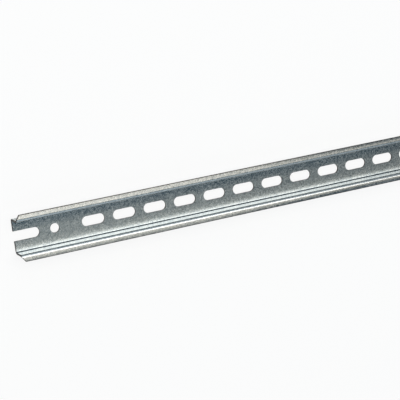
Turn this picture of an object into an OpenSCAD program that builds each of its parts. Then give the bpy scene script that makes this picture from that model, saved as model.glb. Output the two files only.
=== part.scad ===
// Perforated steel mounting rail, 35 mm top-hat section, 15 mm deep.
// It lies on the back of its web with the open side up. X runs along the
// rail, Y across it, and the origin is the middle of the back face.

/* [Rail] */
// Length of the whole rail
rail_length = 500; // [250:25:1000]
// Width over both brims
rail_width = 35; // [33:0.5:37]
// Width over the outside of the two side walls
channel_width = 27; // [24:0.5:29]
// Height from the back face to the top of the brims
rail_height = 15; // [10:0.5:20]
// Thickness of the steel strip
strip_thickness = 1.5; // [1:0.1:2]
// Inside radius of every bend
bend_radius = 0.8; // [0.3:0.1:1.2]

/* [Slots] */
// Distance from one slot to the next, centre to centre
slot_pitch = 25; // [23:0.5:50]
// Length of a slot, end to end
slot_length = 18.2; // [12:0.1:21]
// Width of a slot
slot_width = 7.7; // [4:0.1:9]
// Least distance from the rail's end to the centre of the nearest slot
first_slot_distance = 62.5; // [58:0.5:75]

/* [Ends] */
// Diameter of the round hole near each end
end_hole_diameter = 7.2; // [4:0.1:9]
// Distance from the rail's end to that hole's centre
end_hole_distance = 32; // [28:0.5:40]
// How far the open-ended slot reaches in from the rail's end
end_slot_reach = 20; // [10:0.5:22]
// How far the brims' outer corners are cut back along the rail
corner_cut = 2.8; // [0.5:0.1:4]

/* [Hidden] */
$fn = 64;
// How far a cutter runs past the face that it cuts
past = 1;
outer_bend_radius = bend_radius + strip_thickness;
half_channel = channel_width / 2;
half_width = rail_width / 2;
slot_count = floor((rail_length - 2 * first_slot_distance) / slot_pitch) + 1;
slot_row_length = (slot_count - 1) * slot_pitch;
steel_color = [0.72, 0.74, 0.75];

// One quarter of a ring: the strip's section where it bends.
module quarter_bend() {
    difference() {
        circle(r = outer_bend_radius);
        circle(r = bend_radius);
        translate([-2 * outer_bend_radius, -outer_bend_radius])
            square([2 * outer_bend_radius, 2 * outer_bend_radius]);
        translate([-outer_bend_radius, -2 * outer_bend_radius])
            square([2 * outer_bend_radius, 2 * outer_bend_radius]);
    }
}

// Half of the top-hat section, from the middle of the web to the edge of one brim.
module half_section() {
    // web
    square([half_channel - outer_bend_radius, strip_thickness]);
    // bend from the web up into the side wall
    translate([half_channel - outer_bend_radius, outer_bend_radius])
        rotate(-90)
            quarter_bend();
    // side wall
    translate([half_channel - strip_thickness, outer_bend_radius])
        square([strip_thickness, rail_height - 2 * outer_bend_radius]);
    // bend from the side wall out into the brim
    translate([half_channel + bend_radius, rail_height - outer_bend_radius])
        rotate(90)
            quarter_bend();
    // brim
    translate([half_channel + bend_radius, rail_height - strip_thickness])
        square([half_width - half_channel - bend_radius, strip_thickness]);
}

// The roll-formed strip, before it is punched and cut.
module formed_strip() {
    translate([-rail_length / 2, 0, 0])
        rotate([90, 0, 90])
            linear_extrude(height = rail_length) {
                half_section();
                mirror([1, 0])
                    half_section();
            }
}

// A punch that cuts a slot with round ends through the web, centred on the origin.
module slot_punch(length, width) {
    translate([0, 0, -past])
        linear_extrude(height = strip_thickness + 2 * past) {
            square([length - width, width], center = true);
            for (side = [-1, 1])
                translate([side * (length - width) / 2, 0])
                    circle(d = width);
        }
}

// The row of slots along the middle of the web.
module slot_row() {
    for (i = [0 : slot_count - 1])
        translate([i * slot_pitch - slot_row_length / 2, 0, 0])
            slot_punch(slot_length, slot_width);
}

// Everything that is cut away at one end of the rail, with that end at the
// origin and the rail running towards +X.
module end_cuts() {
    // open-ended slot: a slot twice as long, halved by the end of the rail
    slot_punch(2 * end_slot_reach, slot_width);
    translate([end_hole_distance, 0, -past])
        cylinder(d = end_hole_diameter, h = strip_thickness + 2 * past);
    brim_corner_cut();
    mirror([0, 1, 0])
        brim_corner_cut();
}

// Slanted cut across one brim: nothing at the side wall, corner_cut at the outer edge.
module brim_corner_cut() {
    translate([0, 0, rail_height - outer_bend_radius])
        linear_extrude(height = outer_bend_radius + past)
            polygon([
                [-past, half_channel - past * (half_width - half_channel) / corner_cut],
                [corner_cut, half_width],
                [corner_cut, half_width + past],
                [-past, half_width + past]
            ]);
}

// The finished rail: one formed strip with its slots, holes and cut corners.
module rail() {
    color(steel_color)
        difference() {
            formed_strip();
            slot_row();
            for (turn = [0, 180])
                rotate(turn)
                    translate([-rail_length / 2, 0, 0])
                        end_cuts();
        }
}

rail();
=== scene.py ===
"""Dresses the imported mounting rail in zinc-plated steel and sets it on a pale studio floor.

The rail lies on the back of its web with the open side up. X runs along it, Y across it, and the
origin is the middle of the web's back face.
"""

import logging
import math
from dataclasses import dataclass, field
from enum import Enum
from typing import Callable, Iterable

import bmesh
import bpy
from mathutils import Matrix, Vector


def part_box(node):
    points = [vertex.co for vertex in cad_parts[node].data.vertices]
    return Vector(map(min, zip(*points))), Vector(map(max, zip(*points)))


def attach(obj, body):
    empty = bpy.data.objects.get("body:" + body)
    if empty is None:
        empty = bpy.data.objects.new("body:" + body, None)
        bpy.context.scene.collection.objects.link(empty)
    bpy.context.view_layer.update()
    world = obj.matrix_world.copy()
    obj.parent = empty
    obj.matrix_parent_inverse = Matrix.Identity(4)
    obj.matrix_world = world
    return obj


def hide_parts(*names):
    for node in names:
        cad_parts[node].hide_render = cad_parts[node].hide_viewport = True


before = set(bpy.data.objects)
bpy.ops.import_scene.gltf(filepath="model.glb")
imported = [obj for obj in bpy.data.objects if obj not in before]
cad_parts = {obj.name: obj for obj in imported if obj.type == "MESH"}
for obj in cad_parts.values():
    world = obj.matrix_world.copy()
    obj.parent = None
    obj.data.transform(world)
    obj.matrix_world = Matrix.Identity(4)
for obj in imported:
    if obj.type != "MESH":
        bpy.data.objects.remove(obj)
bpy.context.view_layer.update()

LOG = logging.getLogger("rail")
MM = 0.001


class Skin(Enum):
    """Which of the rail's two finishes a face takes, in the order of its material slots."""

    PLATED = 0
    CUT = 1


# ---------------------------------------------------------------- colour and nodes


def linear(hex_colour: str) -> tuple[float, float, float, float]:
    """Turns an sRGB hex colour into the linear values that shaders use.

    Args:
        hex_colour: a colour such as "#A0A8AA".

    Returns:
        Red, green, blue and an alpha of 1.
    """
    values = (int(hex_colour.lstrip("#")[i : i + 2], 16) / 255 for i in (0, 2, 4))
    red, green, blue = (v / 12.92 if v <= 0.04045 else ((v + 0.055) / 1.055) ** 2.4 for v in values)
    return red, green, blue, 1.0


def add_node(tree: bpy.types.NodeTree, kind: str, settings: dict | None = None,
             links: dict | None = None, **values: object) -> bpy.types.Node:
    """Adds a node to a tree, with its settings, its sockets' values and its links.

    Args:
        tree: the tree that gets the node.
        kind: the node's type name.
        settings: attributes of the node itself, such as its operation.
        links: for each input socket, by name or number, the output socket that feeds it.
        values: for each input socket, by its name in lower case with underscores, its value.

    Returns:
        The new node.
    """
    node = tree.nodes.new(kind)
    for name, value in (settings or {}).items():
        setattr(node, name, value)
    sockets = {s.name.lower().replace(" ", "_"): s for s in reversed(node.inputs)}
    for name, value in values.items():
        sockets[name].default_value = value
    for name, source in (links or {}).items():
        tree.links.new(source, node.inputs[name])
    return node


def new_material(name: str) -> tuple[bpy.types.Material, bpy.types.NodeTree, bpy.types.Node]:
    """Makes an empty node material with its output.

    Args:
        name: the material's name.

    Returns:
        The material, its tree and its output node.
    """
    material = bpy.data.materials.new(name)
    material.use_nodes = True
    tree = material.node_tree
    tree.nodes.clear()
    return material, tree, tree.nodes.new("ShaderNodeOutputMaterial")


@dataclass(frozen=True)
class GalvanisedStrip:
    """Steel strip, hot-dip galvanised before it was rolled: zinc crystals about a millimetre
    across, each with its own gloss and lean, under a smooth blue-grey skin."""

    size_mm: tuple[float, float]
    brim_mm: float
    corner_cut_mm: float
    bright: str = "#DDDDDA"
    dull: str = "#BCC0C1"
    # painted shade: colour and place of the dark line in the two inside corners
    corner_shade_colour: str = "#5F6669"
    corner_shade_mm: tuple[float, float] = (12.0, 3.3)
    corner_shade_reach_mm: float = 0.85
    corner_shade_squeeze: float = 0.35
    # painted reflection: the bluish cast given to the web down in the channel
    channel_reflection_tint: str = "#F5FBFF"
    channel_mm: tuple[float, float] = (1.55, 2.6)
    edge_colour: str = "#4A4440"
    edge_mm: tuple[float, float] = (0.62, 0.10)
    crystal_mm: float = 1.1
    frost_mm: float = 0.30
    smoothest: float = 0.10
    roughest: float = 0.36

    def material(self) -> bpy.types.Material:
        """Builds the finish.

        Returns:
            The material.
        """
        material, tree, output = new_material("galvanised_steel_strip")
        place = add_node(tree, "ShaderNodeTexCoord").outputs["Object"]
        # the crystals' borders wander, so the pattern is bent by a coarser noise
        wander = add_node(tree, "ShaderNodeTexNoise", links={"Vector": place},
                          scale=1 / (self.crystal_mm * MM), detail=2.0)
        bent = add_node(tree, "ShaderNodeVectorMath", {"operation": "MULTIPLY_ADD"},
                        {0: wander.outputs["Color"], 2: place})
        bent.inputs[1].default_value = (0.8 * self.crystal_mm * MM,) * 3
        crystals = add_node(tree, "ShaderNodeTexVoronoi", {"feature": "F1"},
                            {"Vector": bent.outputs[0]}, scale=1 / (self.crystal_mm * MM))
        pick_one = add_node(tree, "ShaderNodeSeparateXYZ", links={0: crystals.outputs["Color"]})
        frost = add_node(tree, "ShaderNodeTexNoise", links={"Vector": place},
                         scale=1 / (self.frost_mm * MM), detail=2.0, roughness=0.6)
        # each crystal is a little lighter or darker than the next
        tint = add_node(tree, "ShaderNodeMix", {"data_type": "RGBA"}, {0: pick_one.outputs[0]})
        tint.inputs[6].default_value = linear(self.dull)
        tint.inputs[7].default_value = linear(self.bright)
        # painted shade: the two inside corners, where the web meets the walls, are darkened to a grey
        # line
        axes = add_node(tree, "ShaderNodeSeparateXYZ", links={0: place})
        side = add_node(tree, "ShaderNodeMath", {"operation": "ABSOLUTE"}, {0: axes.outputs[1]})
        up = add_node(tree, "ShaderNodeMath", {"operation": "MULTIPLY"}, {0: axes.outputs[2]})
        up.inputs[1].default_value = self.corner_shade_squeeze
        spot = add_node(tree, "ShaderNodeCombineXYZ", links={1: side.outputs[0], 2: up.outputs[0]})
        gap = add_node(tree, "ShaderNodeVectorMath", {"operation": "DISTANCE"},
                       {0: spot.outputs[0]})
        gap.inputs[1].default_value = (0.0, self.corner_shade_mm[0] * MM,
                                       self.corner_shade_mm[1] * self.corner_shade_squeeze * MM)
        corner_shade_mask = add_node(tree, "ShaderNodeMapRange", {"interpolation_type": "SMOOTHSTEP"},
                          {"Value": gap.outputs["Value"]},
                          from_min=0.2 * self.corner_shade_reach_mm * MM,
                          from_max=self.corner_shade_reach_mm * MM, to_min=1.0, to_max=0.0)
        shade = add_node(tree, "ShaderNodeMix", {"data_type": "RGBA"}, {0: corner_shade_mask.outputs[0]})
        tree.links.new(tint.outputs[2], shade.inputs[6])
        shade.inputs[7].default_value = linear(self.corner_shade_colour)
        # painted reflection: low in the channel the web is tinted bluer, for the cool cast it mirrors
        # there
        low = add_node(tree, "ShaderNodeMapRange", {"interpolation_type": "SMOOTHSTEP"},
                       {"Value": axes.outputs[2]}, from_min=self.channel_mm[0] * MM,
                       from_max=self.channel_mm[1] * MM, to_min=1.0, to_max=0.0)
        reflection_tinted = add_node(tree, "ShaderNodeMix", {"data_type": "RGBA", "blend_type": "MULTIPLY"},
                        {0: low.outputs[0], 6: shade.outputs[2]})
        reflection_tinted.inputs[7].default_value = linear(self.channel_reflection_tint)
        # a narrow band beside every outer edge is darkened
        edge_band_mask = add_node(tree, "ShaderNodeMapRange", {"interpolation_type": "SMOOTHSTEP"},
                        {"Value": self.edge_gap(tree, axes)}, from_min=self.edge_mm[0] * MM,
                        from_max=self.edge_mm[1] * MM)
        edged = add_node(tree, "ShaderNodeMix", {"data_type": "RGBA"},
                         {0: edge_band_mask.outputs[0], 6: reflection_tinted.outputs[2]})
        edged.inputs[7].default_value = linear(self.edge_colour)
        # gloss changes from crystal to crystal and, finer, with the frost: a hazy mirror
        gloss = add_node(tree, "ShaderNodeMath", {"operation": "MULTIPLY_ADD"},
                         {0: pick_one.outputs[1], 2: frost.outputs["Fac"]})
        gloss.inputs[1].default_value = 0.12
        rough = add_node(tree, "ShaderNodeMapRange", links={"Value": gloss.outputs[0]},
                         from_min=0.42, from_max=0.72, to_min=self.smoothest,
                         to_max=self.roughest)
        # each crystal leans its own way: a height that is flat inside it and steps at its border
        height = add_node(tree, "ShaderNodeMath", {"operation": "MULTIPLY_ADD"},
                          {0: pick_one.outputs[2], 2: frost.outputs["Fac"]})
        height.inputs[1].default_value = 0.5
        bump = add_node(tree, "ShaderNodeBump", links={"Height": height.outputs[0]},
                        strength=0.2, distance=0.03 * MM)
        shader = add_node(tree, "ShaderNodeBsdfPrincipled",
                          links={"Base Color": edged.outputs[2], "Roughness": rough.outputs[0],
                                 "Normal": bump.outputs[0]}, metallic=1.0)
        tree.links.new(shader.outputs[0], output.inputs["Surface"])
        return material


    def edge_gap(self, tree: bpy.types.NodeTree, axes: bpy.types.Node) -> bpy.types.NodeSocket:
        """Works out how far a place is from the strip's nearest outer edge, in metres.

        Args:
            tree: the finish's tree.
            axes: the node that gives the place's X, Y and Z.

        Returns:
            The socket with the distance.
        """

        def step(operation: str, first: object, second: object = 0.0) -> bpy.types.NodeSocket:
            """Adds one sum and gives its result."""
            node = add_node(tree, "ShaderNodeMath", {"operation": operation})
            for socket, value in zip(node.inputs, (first, second)):
                if isinstance(value, bpy.types.NodeSocket):
                    tree.links.new(value, socket)
                else:
                    socket.default_value = value
            return node.outputs[0]

        along = step("ABSOLUTE", axes.outputs[0])
        across = step("ABSOLUTE", axes.outputs[1])
        # the brims' corners are cut off aslant, so out there the end comes sooner
        wall = self.size_mm[1] / 2 - self.brim_mm
        out = step("MAXIMUM", step("SUBTRACT", across, wall * MM))
        aslant = step("MULTIPLY", out, self.corner_cut_mm / self.brim_mm)
        to_end = step("SUBTRACT", self.size_mm[0] / 2 * MM, step("ADD", along, aslant))
        to_side = step("SUBTRACT", self.size_mm[1] / 2 * MM, across)
        return step("MINIMUM", to_end, to_side)


@dataclass(frozen=True)
class CutSteel:
    """Bare sheared steel on slit edges, punched walls and sawn ends: it was cut after the zinc
    went on, so it is darker, duller and a little brown."""

    colour: str = "#453C37"
    dark_colour: str = "#2C2725"
    roughness: float = 0.5
    grain_mm: float = 0.35

    def material(self) -> bpy.types.Material:
        """Builds the finish.

        Returns:
            The material.
        """
        material, tree, output = new_material("bare_cut_steel")
        place = add_node(tree, "ShaderNodeTexCoord").outputs["Object"]
        grain = add_node(tree, "ShaderNodeTexNoise", links={"Vector": place},
                         scale=1 / (self.grain_mm * MM), detail=3.0)
        tint = add_node(tree, "ShaderNodeMix", {"data_type": "RGBA"}, {0: grain.outputs["Fac"]})
        tint.inputs[6].default_value = linear(self.dark_colour)
        tint.inputs[7].default_value = linear(self.colour)
        bump = add_node(tree, "ShaderNodeBump", links={"Height": grain.outputs["Fac"]},
                        strength=0.4, distance=0.03 * MM)
        shader = add_node(tree, "ShaderNodeBsdfPrincipled",
                          links={"Base Color": tint.outputs[2], "Normal": bump.outputs[0]},
                          metallic=1.0, roughness=self.roughness)
        tree.links.new(shader.outputs[0], output.inputs["Surface"])
        return material


# ---------------------------------------------------------------- modelling helpers


def start_object(name: str) -> bpy.types.Object:
    """Names the primitive that was just added and makes it the only selected object.

    Args:
        name: the object's new name.

    Returns:
        The object.
    """
    piece = bpy.context.object
    piece.name = name
    return piece


def clear_selection() -> None:
    """Deselects every object."""
    if bpy.context.object and bpy.context.object.mode != "OBJECT":
        bpy.ops.object.mode_set(mode="OBJECT")
    bpy.ops.object.select_all(action="DESELECT")


def pick(piece: bpy.types.Object, mode: str, wanted: Callable[[object], bool]) -> int:
    """Selects exactly the wanted vertices, edges or faces, in edit mode.

    Args:
        piece: the object, in edit mode.
        mode: VERT, EDGE or FACE.
        wanted: says of one bmesh element whether it is wanted.

    Returns:
        How many were selected.
    """
    bpy.ops.mesh.select_mode(type=mode)
    bpy.ops.mesh.select_all(action="DESELECT")
    mesh = bmesh.from_edit_mesh(piece.data)
    elements = {"VERT": mesh.verts, "EDGE": mesh.edges, "FACE": mesh.faces}[mode]
    found = [e for e in elements if wanted(e)]
    for element in found:
        element.select_set(True)
    mesh.select_flush_mode()
    bmesh.update_edit_mesh(piece.data)
    return len(found)


def middle(edge: bmesh.types.BMEdge) -> Vector:
    """The middle of an edge."""
    return (edge.verts[0].co + edge.verts[1].co) / 2


def apply_modifier(piece: bpy.types.Object, kind: str, **settings: object) -> None:
    """Gives a piece a modifier and applies it.

    Args:
        piece: the object.
        kind: the modifier's type.
        settings: the modifier's attributes.
    """
    clear_selection()
    piece.select_set(True)
    bpy.context.view_layer.objects.active = piece
    modifier = piece.modifiers.new(kind.lower(), kind)
    for name, value in settings.items():
        setattr(modifier, name, value)
    bpy.ops.object.modifier_apply(modifier=modifier.name)


# ---------------------------------------------------------------- the rail


@dataclass
class PunchedRail:
    """The whole rail: one strip, rolled to a top-hat section, punched and cut. Sizes in mm."""

    length: float
    width: float
    height: float
    channel_width: float = 27.0
    thickness: float = 1.5
    bend_radius: float = 0.8
    bend_steps: int = 8
    # how much each brim rises per mm, from the wall to its edge: both lean a hair to the same side
    left_slopes: tuple[float, ...] = (0.080, 0.085, 0.030, 0.005)
    right_slopes: tuple[float, ...] = (-0.095, -0.070, -0.070, -0.060)
    # towards the far end both brims roll over a hair to the left: their edges move by this much
    roll_over: float = 0.19
    roll_from: float = -100.0
    roll_to: float = 45.0
    roll_start: float = 14.3
    bay: float = 25.0
    # the rolls leave the web a hair dished: each border rises by this much past this distance
    dish_rises: tuple[float, float] = (0.12, 0.28)
    dish_starts: tuple[float, float] = (3.5, 2.5)
    dish_cuts: int = 19
    slot_pitch: float = 25.0
    slot_length: float = 18.2
    slot_width: float = 7.7
    slot_count: int = 16
    hole_diameter: float = 7.2
    hole_distance: float = 32.0
    end_slot_reach: float = 20.0
    corner_cut: float = 2.8
    edge_round: float = 0.2
    round_steps: int = 40
    parts: list[bpy.types.Object] = field(default_factory=list)

    def build(self, plate: bpy.types.Material, cut: bpy.types.Material) -> bpy.types.Object:
        """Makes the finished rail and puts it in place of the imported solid.

        Args:
            plate: the finish of the strip's faces.
            cut: the finish of its cut edges.

        Returns:
            The rail.
        """
        rail = self.fold_strip()
        punch = self.join_punches()
        apply_modifier(rail, "BOOLEAN", operation="DIFFERENCE", solver="EXACT", object=punch)
        bpy.data.objects.remove(punch)
        rail.data.materials.clear()
        rail.data.materials.append(plate)
        rail.data.materials.append(cut)
        apply_modifier(rail, "BEVEL", width=self.edge_round * MM, segments=2,
                       limit_method="ANGLE", angle_limit=math.radians(55))
        self.mark_cut_faces(rail)
        clear_selection()
        rail.select_set(True)
        bpy.context.view_layer.objects.active = rail
        bpy.ops.object.shade_smooth_by_angle(angle=math.radians(40))
        apply_modifier(rail, "WEIGHTED_NORMAL", keep_sharp=True, weight=50)
        rail.name = rail.data.name = "punched_rail"
        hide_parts("rail")
        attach(rail, "root")
        return rail

    def fold_strip(self) -> bpy.types.Object:
        """Folds a flat strip to the top-hat section and gives it its thickness.

        Returns:
            The strip, unpunched.
        """
        half = self.channel_width / 2 * MM
        back_rise = (self.height - self.thickness) * MM
        brim = (self.width - self.channel_width) / 2 * MM
        clear_selection()
        bpy.ops.mesh.primitive_plane_add(size=1)
        strip = start_object("strip")
        bpy.ops.object.mode_set(mode="EDIT")
        bpy.ops.mesh.select_all(action="SELECT")
        bpy.ops.transform.resize(value=(self.length * MM, 2 * half, 1))
        pick(strip, "EDGE", lambda e: abs(abs(middle(e).y) - half) < 1e-6)
        bpy.ops.mesh.extrude_region_move(TRANSFORM_OT_translate={"value": (0, 0, back_rise)})
        self.draw_out_brim(strip, -1, half, back_rise, brim, self.left_slopes)
        self.draw_out_brim(strip, 1, half, back_rise, brim, self.right_slopes)
        outer = (self.bend_radius + self.thickness) * MM
        for height, radius in ((0.0, outer), (back_rise, self.bend_radius * MM)):
            pick(strip, "EDGE", lambda e, h=height: abs(abs(middle(e).y) - half) < 1e-6
                 and abs(e.verts[0].co.z - h) < 1e-6 and abs(e.verts[1].co.z - h) < 1e-6)
            bpy.ops.mesh.bevel(offset=radius, offset_type="OFFSET", segments=self.bend_steps,
                               affect="EDGES")
        pick(strip, "EDGE", lambda e: abs(e.verts[0].co.x - e.verts[1].co.x) > 0.01)
        bpy.ops.mesh.subdivide(number_cuts=round(self.length / self.bay) - 1)
        self.roll_brims(strip)
        self.dish_web(strip, half - outer)
        bpy.ops.object.mode_set(mode="OBJECT")
        apply_modifier(strip, "SOLIDIFY", thickness=self.thickness * MM, offset=1.0,
                       use_even_offset=True)
        return strip

    def draw_out_brim(self, strip: bpy.types.Object, side: int, start: float, rise: float,
                      brim: float, slopes: tuple[float, ...]) -> None:
        """Draws one brim out of the top of its wall, a step at a time.

        Args:
            strip: the strip, in edit mode.
            side: 1 or -1, for the brim's side along Y.
            start: how far the wall is from the middle, in metres.
            rise: the height of the wall's top edge, in metres.
            brim: the brim's width, in metres.
            slopes: how much each step rises for its width.
        """
        step = brim / len(slopes)
        reached, level = start, rise
        for slope in slopes:
            pick(strip, "EDGE", lambda e, y=reached, z=level: abs(middle(e).y - side * y) < 1e-6
                 and abs(middle(e).z - z) < 1e-6 and abs(e.verts[0].co.z - e.verts[1].co.z) < 1e-7
                 and abs(e.verts[0].co.x - e.verts[1].co.x) > 0.01)
            bpy.ops.mesh.extrude_region_move(
                TRANSFORM_OT_translate={"value": (0, side * step, slope * step)})
            reached, level = reached + step, level + slope * step

    def roll_brims(self, strip: bpy.types.Object) -> None:
        """Rolls both brims over to the left, more and more along the rail.

        Args:
            strip: the strip, in edit mode.
        """
        mesh = bmesh.from_edit_mesh(strip.data)
        for vert in mesh.verts:
            out = (abs(vert.co.y) / MM - self.roll_start) / (self.width / 2 - self.roll_start)
            along = (vert.co.x / MM - self.roll_from) / (self.roll_to - self.roll_from)
            if out > 0:
                ease = 0.5 - 0.5 * math.cos(math.pi * min(max(along, 0.0), 1.0))
                vert.co.z += math.copysign(self.roll_over * MM * out**2 * ease, vert.co.y)
        bmesh.update_edit_mesh(strip.data)

    def dish_web(self, strip: bpy.types.Object, flat_half: float) -> None:
        """Lifts the web's two borders a hair. The walls give way, so the brims stay where they are.

        Args:
            strip: the strip, in edit mode.
            flat_half: half the width of the web between its bends, in metres.
        """
        pick(strip, "EDGE", lambda e: abs(middle(e).y) < 1e-6
             and abs(e.verts[0].co.y - e.verts[1].co.y) > 0.01)
        bpy.ops.mesh.subdivide(number_cuts=self.dish_cuts)
        mesh = bmesh.from_edit_mesh(strip.data)
        for side, rise, start in zip((-1, 1), self.dish_rises, self.dish_starts):
            for vert in mesh.verts:
                out = (side * vert.co.y - start * MM) / (flat_half - start * MM)
                if out > 0 and vert.co.z < self.height / 2 * MM:
                    vert.co.z += rise * MM * min(out, 1.0) ** 2
        bmesh.update_edit_mesh(strip.data)

    def slot_punch(self, length: float, name: str) -> bpy.types.Object:
        """Makes a punch with round ends, centred on the origin and longer than the web is thick.

        Args:
            length: the slot's length from end to end.
            name: the punch's name.

        Returns:
            The punch.
        """
        clear_selection()
        bpy.ops.mesh.primitive_cylinder_add(vertices=self.round_steps,
                                            radius=self.slot_width / 2 * MM,
                                            depth=4 * self.thickness * MM)
        punch = start_object(name)
        bpy.ops.object.mode_set(mode="EDIT")
        bpy.ops.mesh.select_all(action="SELECT")
        # turned by half a step, so that no corner lies on the line where the two ends part
        bpy.ops.transform.rotate(value=math.pi / self.round_steps, orient_axis="Z",
                                 center_override=(0, 0, 0))
        reach = (length - self.slot_width) / 2 * MM
        for side in (-1, 1):
            pick(punch, "VERT", lambda v, s=side: v.co.x * s > 0 and abs(v.co.x) < self.slot_width * MM)
            bpy.ops.transform.translate(value=(side * reach, 0, 0))
        bpy.ops.object.mode_set(mode="OBJECT")
        return punch

    def join_punches(self) -> bpy.types.Object:
        """Makes all the punches and joins them into one object.

        Returns:
            The joined punches.
        """
        row = self.slot_punch(self.slot_length, "slot_punches")
        self.move(row, -(self.slot_count - 1) * self.slot_pitch / 2, 0, 0)
        apply_modifier(row, "ARRAY", count=self.slot_count, use_relative_offset=False,
                       use_constant_offset=True,
                       constant_offset_displace=(self.slot_pitch * MM, 0, 0))
        tools = [row]
        for side in (-1, 1):
            tools.append(self.slot_punch(2 * self.end_slot_reach, "end_slot_punch"))
            self.move(tools[-1], side * self.length / 2, 0, 0)
            clear_selection()
            bpy.ops.mesh.primitive_cylinder_add(
                vertices=self.round_steps, radius=self.hole_diameter / 2 * MM,
                depth=4 * self.thickness * MM)
            tools.append(start_object("hole_punch"))
            self.move(tools[-1], side * (self.length / 2 - self.hole_distance), 0, 0)
            for brim in (-1, 1):
                tools.append(self.corner_cutter(side, brim))
        clear_selection()
        for tool in tools:
            tool.select_set(True)
        bpy.context.view_layer.objects.active = row
        bpy.ops.object.join()
        return row

    def corner_cutter(self, side: int, brim: int) -> bpy.types.Object:
        """Makes the wedge that cuts one corner off a brim.

        Args:
            side: 1 or -1, for the end along X.
            brim: 1 or -1, for the brim along Y.

        Returns:
            The wedge.
        """
        wide = (self.width - self.channel_width) / 2
        start = Vector((self.length / 2, self.channel_width / 2, 0))
        along = Vector((-self.corner_cut, wide, 0))
        clear_selection()
        bpy.ops.mesh.primitive_cube_add(size=1)
        wedge = start_object("corner_cutter")
        bpy.ops.object.mode_set(mode="EDIT")
        bpy.ops.mesh.select_all(action="SELECT")
        size = (4 * wide * MM, 6 * wide * MM, 2 * (self.bend_radius + self.thickness + 1) * MM)
        bpy.ops.transform.resize(value=size)
        # the cube's inner face goes to the plane of the cut, which turns about the wall
        bpy.ops.transform.translate(value=(size[0] / 2, 0, 0))
        lean = math.atan2(self.corner_cut, wide)
        bpy.ops.object.mode_set(mode="OBJECT")
        turn = Matrix.Rotation(lean, 4, "Z")
        place = Matrix.Translation((start.x * MM, start.y * MM, (self.height + 1) * MM))
        flip = Matrix.Diagonal((side, brim, 1, 1))
        wedge.data.transform(flip @ place @ turn)
        if side * brim < 0:
            wedge.data.flip_normals()
        return wedge

    @staticmethod
    def move(piece: bpy.types.Object, x: float, y: float, z: float) -> None:
        """Moves a piece's mesh by that much, in mm."""
        piece.data.transform(Matrix.Translation((x * MM, y * MM, z * MM)))

    def mark_cut_faces(self, rail: bpy.types.Object) -> None:
        """Gives the sheared faces their own finish.

        Args:
            rail: the punched rail.
        """
        end = (self.length / 2 - 1.5 * self.edge_round) * MM
        edge = (self.width / 2 - 1.5 * self.edge_round) * MM
        hat = (self.height - self.thickness - 1) * MM
        for face in rail.data.polygons:
            n, c = face.normal, face.center
            at_end = abs(c.x) > end
            on_slit = abs(c.y) > edge
            on_corner = min(abs(n.x), abs(n.y)) > 0.2 and abs(n.z) < 0.2 and c.z > hat
            on_punched = abs(n.z) < 0.2 and abs(c.y) < self.slot_width * 0.6 * MM
            face.material_index = (Skin.CUT if at_end or on_slit or on_corner or on_punched
                                   else Skin.PLATED).value


# ---------------------------------------------------------------- the studio


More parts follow.
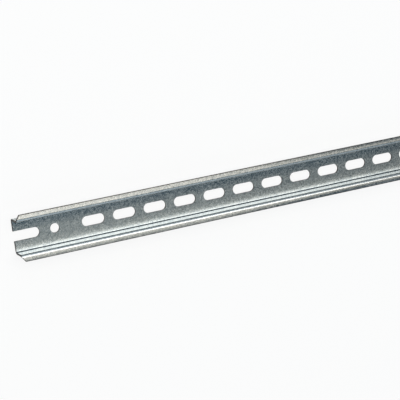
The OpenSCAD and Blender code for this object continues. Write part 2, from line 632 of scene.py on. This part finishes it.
@dataclass
class Studio:
    """Pale floor, soft light and the camera. Sizes in metres, angles in degrees."""

    floor_side: float = 12.0
    floor_colour: str = "#F6F6F5"
    glow: float = 0.85
    turn: float = 3.0
    # the walls round the rail's length: the lean from straight up toward +Y, and the colour there
    walls: tuple[tuple[float, str], ...] = (
        (-28.0, "#C0CFD9"), (-21.0, "#153E50"), (-15.5, "#153E50"), (-8.0, "#D2D2CA"),
        (6.0, "#D2D2CA"), (26.0, "#C0CFD9"))
    dim_from: float = 14.0
    dim_to: float = 36.0
    dimmest: float = 0.5
    lamp_colour: str = "#FFFBF6"
    box_size: tuple[float, float] = (2.5, 1.36)
    box_power: float = 19.8
    # a place on the softbox's near edge, and how far the edge goes on beyond it
    box_edge: tuple[float, float, float] = (0.45, 0.0, 1.6)
    box_end: float = 0.60
    lens: float = 134.5
    aim: tuple[float, float, float] = (-0.0994, -0.00255, 0.0)
    distance: float = 1.155
    lift: float = 11.86
    swing: float = 21.35
    roll: float = 12.03

    def floor(self) -> bpy.types.Object:
        """Lays the floor.

        Returns:
            The floor.
        """
        clear_selection()
        bpy.ops.mesh.primitive_plane_add(size=self.floor_side)
        ground = start_object("floor")
        material, tree, output = new_material("studio_floor")
        paint = add_node(tree, "ShaderNodeBsdfDiffuse", color=linear(self.floor_colour))
        white = add_node(tree, "ShaderNodeEmission", color=(1, 1, 1, 1), strength=1.0)
        path = add_node(tree, "ShaderNodeLightPath")
        share = add_node(tree, "ShaderNodeMath", {"operation": "MULTIPLY"},
                         {0: path.outputs["Is Camera Ray"]})
        share.inputs[1].default_value = self.glow
        mix = add_node(tree, "ShaderNodeMixShader", links={0: share.outputs[0],
                                                           1: paint.outputs[0],
                                                           2: white.outputs[0]})
        tree.links.new(mix.outputs[0], output.inputs["Surface"])
        ground.data.materials.append(material)
        return ground

    def world(self) -> None:
        """Surrounds the rail with pale grey-blue studio walls and one dark strip, a black flag
        hung beside the softbox, so that the flat steel has something dark to mirror."""
        world = bpy.data.worlds.new("studio_world")
        bpy.context.scene.world = world
        world.use_nodes = True
        tree = world.node_tree
        tree.nodes.clear()
        turned = add_node(tree, "ShaderNodeMapping", {"vector_type": "POINT"},
                          {"Vector": add_node(tree, "ShaderNodeTexCoord").outputs["Generated"]},
                          rotation=(0.0, 0.0, -math.radians(self.turn)))
        way = add_node(tree, "ShaderNodeSeparateXYZ", links={0: turned.outputs[0]})
        lean = add_node(tree, "ShaderNodeMath", {"operation": "ARCTAN2"},
                        {0: way.outputs[1], 1: way.outputs[2]})
        share = add_node(tree, "ShaderNodeMapRange", links={"Value": lean.outputs[0]},
                         from_min=-math.pi / 2, from_max=math.pi / 2)
        ramp = add_node(tree, "ShaderNodeValToRGB", links={"Fac": share.outputs[0]})
        ramp.color_ramp.interpolation = "EASE"
        stops = ramp.color_ramp.elements
        while len(stops) < len(self.walls):
            stops.new(1.0)
        for stop, (angle, colour) in zip(stops, self.walls):
            stop.position = angle / 180 + 0.5
            stop.color = linear(colour)
        # the walls are dimmer past the rail's far end, away from the window side
        dim = add_node(tree, "ShaderNodeMapRange", links={"Value": way.outputs[0]},
                       from_min=math.sin(math.radians(self.dim_from)),
                       from_max=math.sin(math.radians(self.dim_to)), to_min=1.0,
                       to_max=self.dimmest)
        back = add_node(tree, "ShaderNodeBackground",
                        links={"Color": ramp.outputs["Color"], "Strength": dim.outputs[0]})
        output = tree.nodes.new("ShaderNodeOutputWorld")
        tree.links.new(back.outputs[0], output.inputs["Surface"])

    def softbox(self) -> None:
        """Hangs the softbox over the rail, turned a little against it, facing down."""
        lamp = bpy.data.lights.new("overhead_softbox", "AREA")
        lamp.shape = "RECTANGLE"
        lamp.size, lamp.size_y = self.box_size
        lamp.energy = self.box_power
        lamp.color = linear(self.lamp_colour)[:3]
        box = bpy.data.objects.new("overhead_softbox", lamp)
        turn = Matrix.Rotation(math.radians(self.turn), 3, "Z")
        corner = Vector((self.box_size[0] / 2 - self.box_end, self.box_size[1] / 2, 0))
        box.location = Vector(self.box_edge) - turn @ Vector((corner.x, -corner.y, 0))
        box.rotation_euler = turn.to_euler()
        bpy.context.scene.collection.objects.link(box)

    def camera(self) -> None:
        """Sets the camera, turned from a view straight down on the web."""
        data = bpy.data.cameras.new("camera")
        data.lens = self.lens
        data.sensor_width = 36.0
        data.clip_start, data.clip_end = 0.01, 50.0
        turn = (Matrix.Rotation(math.radians(-self.lift), 3, "X")
                @ Matrix.Rotation(math.radians(-self.swing), 3, "Y")
                @ Matrix.Rotation(math.radians(-self.roll), 3, "Z"))
        camera = bpy.data.objects.new("camera", data)
        camera.rotation_euler = turn.to_euler()
        camera.location = Vector(self.aim) + turn @ Vector((0, 0, self.distance))
        bpy.context.scene.collection.objects.link(camera)
        bpy.context.scene.camera = camera

    def build(self) -> None:
        """Lays out the whole studio."""
        self.floor()
        self.world()
        self.softbox()
        self.camera()
        bpy.context.scene.view_settings.view_transform = "Standard"


def main() -> None:
    """Builds the rail and the studio, and reports each piece."""
    logging.basicConfig(level=logging.INFO, format="%(name)s: %(message)s")
    low, high = (Vector(corner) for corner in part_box("rail"))
    size = (high - low) / MM
    rail = PunchedRail(length=size.x, width=size.y, height=size.z)
    strip = GalvanisedStrip(size_mm=(rail.length, rail.width),
                            brim_mm=(rail.width - rail.channel_width) / 2,
                            corner_cut_mm=rail.corner_cut)
    piece = rail.build(strip.material(), CutSteel().material())
    LOG.info("punched rail: %d faces", len(piece.data.polygons))
    Studio().build()
    LOG.info("studio: floor, world, softbox and camera")


if __name__ == "__main__":
    main()
